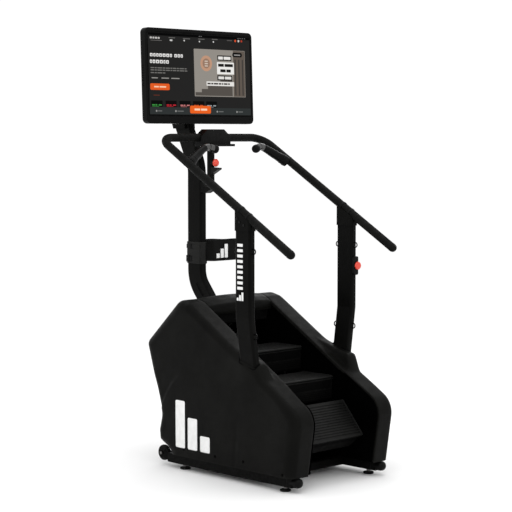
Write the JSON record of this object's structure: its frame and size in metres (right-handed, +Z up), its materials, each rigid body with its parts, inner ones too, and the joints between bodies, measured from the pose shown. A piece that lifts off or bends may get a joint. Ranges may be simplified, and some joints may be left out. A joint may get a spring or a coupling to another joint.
{
  "type": "stair climber",
  "caption": "Gym stair climber: moving staircase between moulded side covers, sloping handrails on posts, and a large display on a curved mast.",
  "frame": {"origin": "on the floor under the middle of the whole machine's box", "axes": "+Z up, the longest side; +X across the machine, to the user's right when facing the display; +Y from the open front of the staircase towards the mast"},
  "size_m": [0.748, 1.2098, 2.1818],
  "materials": {
    "body_moulding": "fine-textured black moulding",
    "powder_coat": "satin black powder coat",
    "frame_steel": "satin black powder coat",
    "step_black": "ribbed black step moulding",
    "rail_grip": "knurled black foam sleeve",
    "contact_chrome": "polished",
    "black_plastic": "satin black plastic",
    "screen_case": "satin black",
    "screen_glass": "glossy display panel",
    "stop_red": "glossy red",
    "rubber_black": "matt",
    "bare_steel": "machined",
    "bright_wire": "plated",
    "belt_rubber": "ribbed belt",
    "board_green": "circuit board",
    "holder_skin": "soft-touch",
    "alloy_case": "cast"
  },
  "bodies": {
    "chassis": {"accessory_holder": "holder_skin", "anchor_rings": "bright_wire", "base_end_caps": "black_plastic", "base_pan": "frame_steel", "base_rails": "frame_steel", "console_pod": "black_plastic", "console_support_bracket": "powder_coat", "console_support_tube": "powder_coat", "control_board": "board_green", "cover_screws": "bare_steel", "cross_members": "frame_steel", "drive_belt": "belt_rubber", "drive_frames": "frame_steel", "estop_bases": "black_plastic", "generator": "alloy_case", "grip_bars": "black_plastic", "grip_contacts": "contact_chrome", "grip_end_caps": "black_plastic", "handrail_end_caps": "rail_grip", "handrail_left": "rail_grip", "handrail_right": "rail_grip", "inner_skirts": "body_moulding", "mast": "powder_coat", "post_bolts": "bare_steel", "post_collars": "powder_coat", "post_left": "powder_coat", "post_right": "powder_coat", "power_inlet": "black_plastic", "rear_cover": "body_moulding", "rear_guard": "black_plastic", "screen_bracket": "powder_coat", "shaft_bearings": "alloy_case", "side_cover_left": "body_moulding", "side_cover_right": "body_moulding", "step_chains": "bare_steel", "wheel_axles": "frame_steel"},
    "upper_drive": {"drive_shaft": "bare_steel", "upper_sprockets": "bare_steel", "drive_pulley": "alloy_case"},
    "lower_drive": {"idler_shaft": "bare_steel", "lower_sprockets": "bare_steel"},
    "flywheel": {"flywheel": "bare_steel"},
    "step_1": {"step_1_tread": "step_black", "step_1_riser": "step_black"},
    "step_2": {"step_2_tread": "step_black", "step_2_riser": "step_black"},
    "step_3": {"step_3_tread": "step_black", "step_3_riser": "step_black"},
    "step_0": {"step_0": "step_black"},
    "return_steps": {"return_steps": "step_black"},
    "screen": {"screen_housing": "screen_case", "screen_glass": "screen_glass"},
    "stop_button_console": {"estop_button_console": "stop_red"},
    "stop_button_post": {"estop_button_post": "stop_red"},
    "wheel_left": {"wheel_left": "rubber_black"},
    "wheel_right": {"wheel_right": "rubber_black"},
    "foot_front_left": {"foot_front_left": "rubber_black"},
    "foot_front_right": {"foot_front_right": "rubber_black"},
    "foot_rear_left": {"foot_rear_left": "rubber_black"},
    "foot_rear_right": {"foot_rear_right": "rubber_black"}
  },
  "joints": [
    {"name": "drive_shaft_turn", "type": "hinge", "parent": "chassis", "child": "upper_drive", "pos_m": [0, 0.10506, 0.47404], "axis": [1, 0, 0], "range_deg": [-28, 48]},
    {"name": "idler_shaft_turn", "type": "hinge", "parent": "chassis", "child": "lower_drive", "pos_m": [0, -0.296, 0.239], "axis": [1, 0, 0], "range_deg": [-29, 49]},
    {"name": "flywheel_turn", "type": "hinge", "parent": "chassis", "child": "flywheel", "pos_m": [0, 0.243, 0.2], "axis": [1, 0, 0], "range_deg": [-134.2, 226.5]},
    {"name": "step_1_travel", "type": "slide", "parent": "chassis", "child": "step_1", "axis": [0, -0.8628, -0.5056], "range_m": [-0.045, 0.0764]},
    {"name": "step_2_travel", "type": "slide", "parent": "chassis", "child": "step_2", "axis": [0, -0.8628, -0.5056], "range_m": [-0.045, 0.0764]},
    {"name": "step_3_turn", "type": "hinge", "parent": "chassis", "child": "step_3", "pos_m": [0, -0.296, 0.239], "axis": [1, 0, 0], "range_deg": [-29, 49]},
    {"name": "step_0_turn", "type": "hinge", "parent": "chassis", "child": "step_0", "pos_m": [0, 0.10506, 0.47404], "axis": [1, 0, 0], "range_deg": [-29, 49]},
    {"name": "return_steps_travel", "type": "slide", "parent": "chassis", "child": "return_steps", "axis": [0, 0.8628, 0.5056], "range_m": [-0.045, 0.0764]},
    {"name": "screen_tilt", "type": "hinge", "parent": "chassis", "child": "screen", "pos_m": [0, 0.508, 1.935], "axis": [1, 0, 0], "range_deg": [-8, 8]},
    {"name": "stop_button_console_push", "type": "slide", "parent": "chassis", "child": "stop_button_console", "axis": [0, 1, 0], "range_m": [0, 0.005], "stiffness_N_per_m": 900, "springref_m": -0.002},
    {"name": "stop_button_post_push", "type": "slide", "parent": "chassis", "child": "stop_button_post", "axis": [0, 1, 0], "range_m": [0, 0.005], "stiffness_N_per_m": 900, "springref_m": -0.002},
    {"name": "wheel_left_spin", "type": "hinge", "parent": "chassis", "child": "wheel_left", "pos_m": [-0.288, 0.381, 0.061], "axis": [1, 0, 0], "continuous": true},
    {"name": "wheel_right_spin", "type": "hinge", "parent": "chassis", "child": "wheel_right", "pos_m": [0.288, 0.381, 0.061], "axis": [1, 0, 0], "continuous": true},
    {"name": "foot_front_left_level", "type": "slide", "parent": "chassis", "child": "foot_front_left", "axis": [0, 0, -1], "range_m": [0, 0.012]},
    {"name": "foot_front_right_level", "type": "slide", "parent": "chassis", "child": "foot_front_right", "axis": [0, 0, -1], "range_m": [0, 0.012]},
    {"name": "foot_rear_left_level", "type": "slide", "parent": "chassis", "child": "foot_rear_left", "axis": [0, 0, -1], "range_m": [0, 0.012]},
    {"name": "foot_rear_right_level", "type": "slide", "parent": "chassis", "child": "foot_rear_right", "axis": [0, 0, -1], "range_m": [0, 0.012]}
  ],
  "couplings": [
    {"joint": "idler_shaft_turn", "follows": "drive_shaft_turn", "ratio": 1},
    {"joint": "flywheel_turn", "follows": "drive_shaft_turn", "ratio": 4.6154},
    {"joint": "step_1_travel", "follows": "drive_shaft_turn", "m_per_rad": 0.09},
    {"joint": "step_2_travel", "follows": "drive_shaft_turn", "m_per_rad": 0.09},
    {"joint": "step_3_turn", "follows": "drive_shaft_turn", "ratio": 1},
    {"joint": "step_0_turn", "follows": "drive_shaft_turn", "ratio": 1},
    {"joint": "return_steps_travel", "follows": "drive_shaft_turn", "m_per_rad": 0.09}
  ]
}
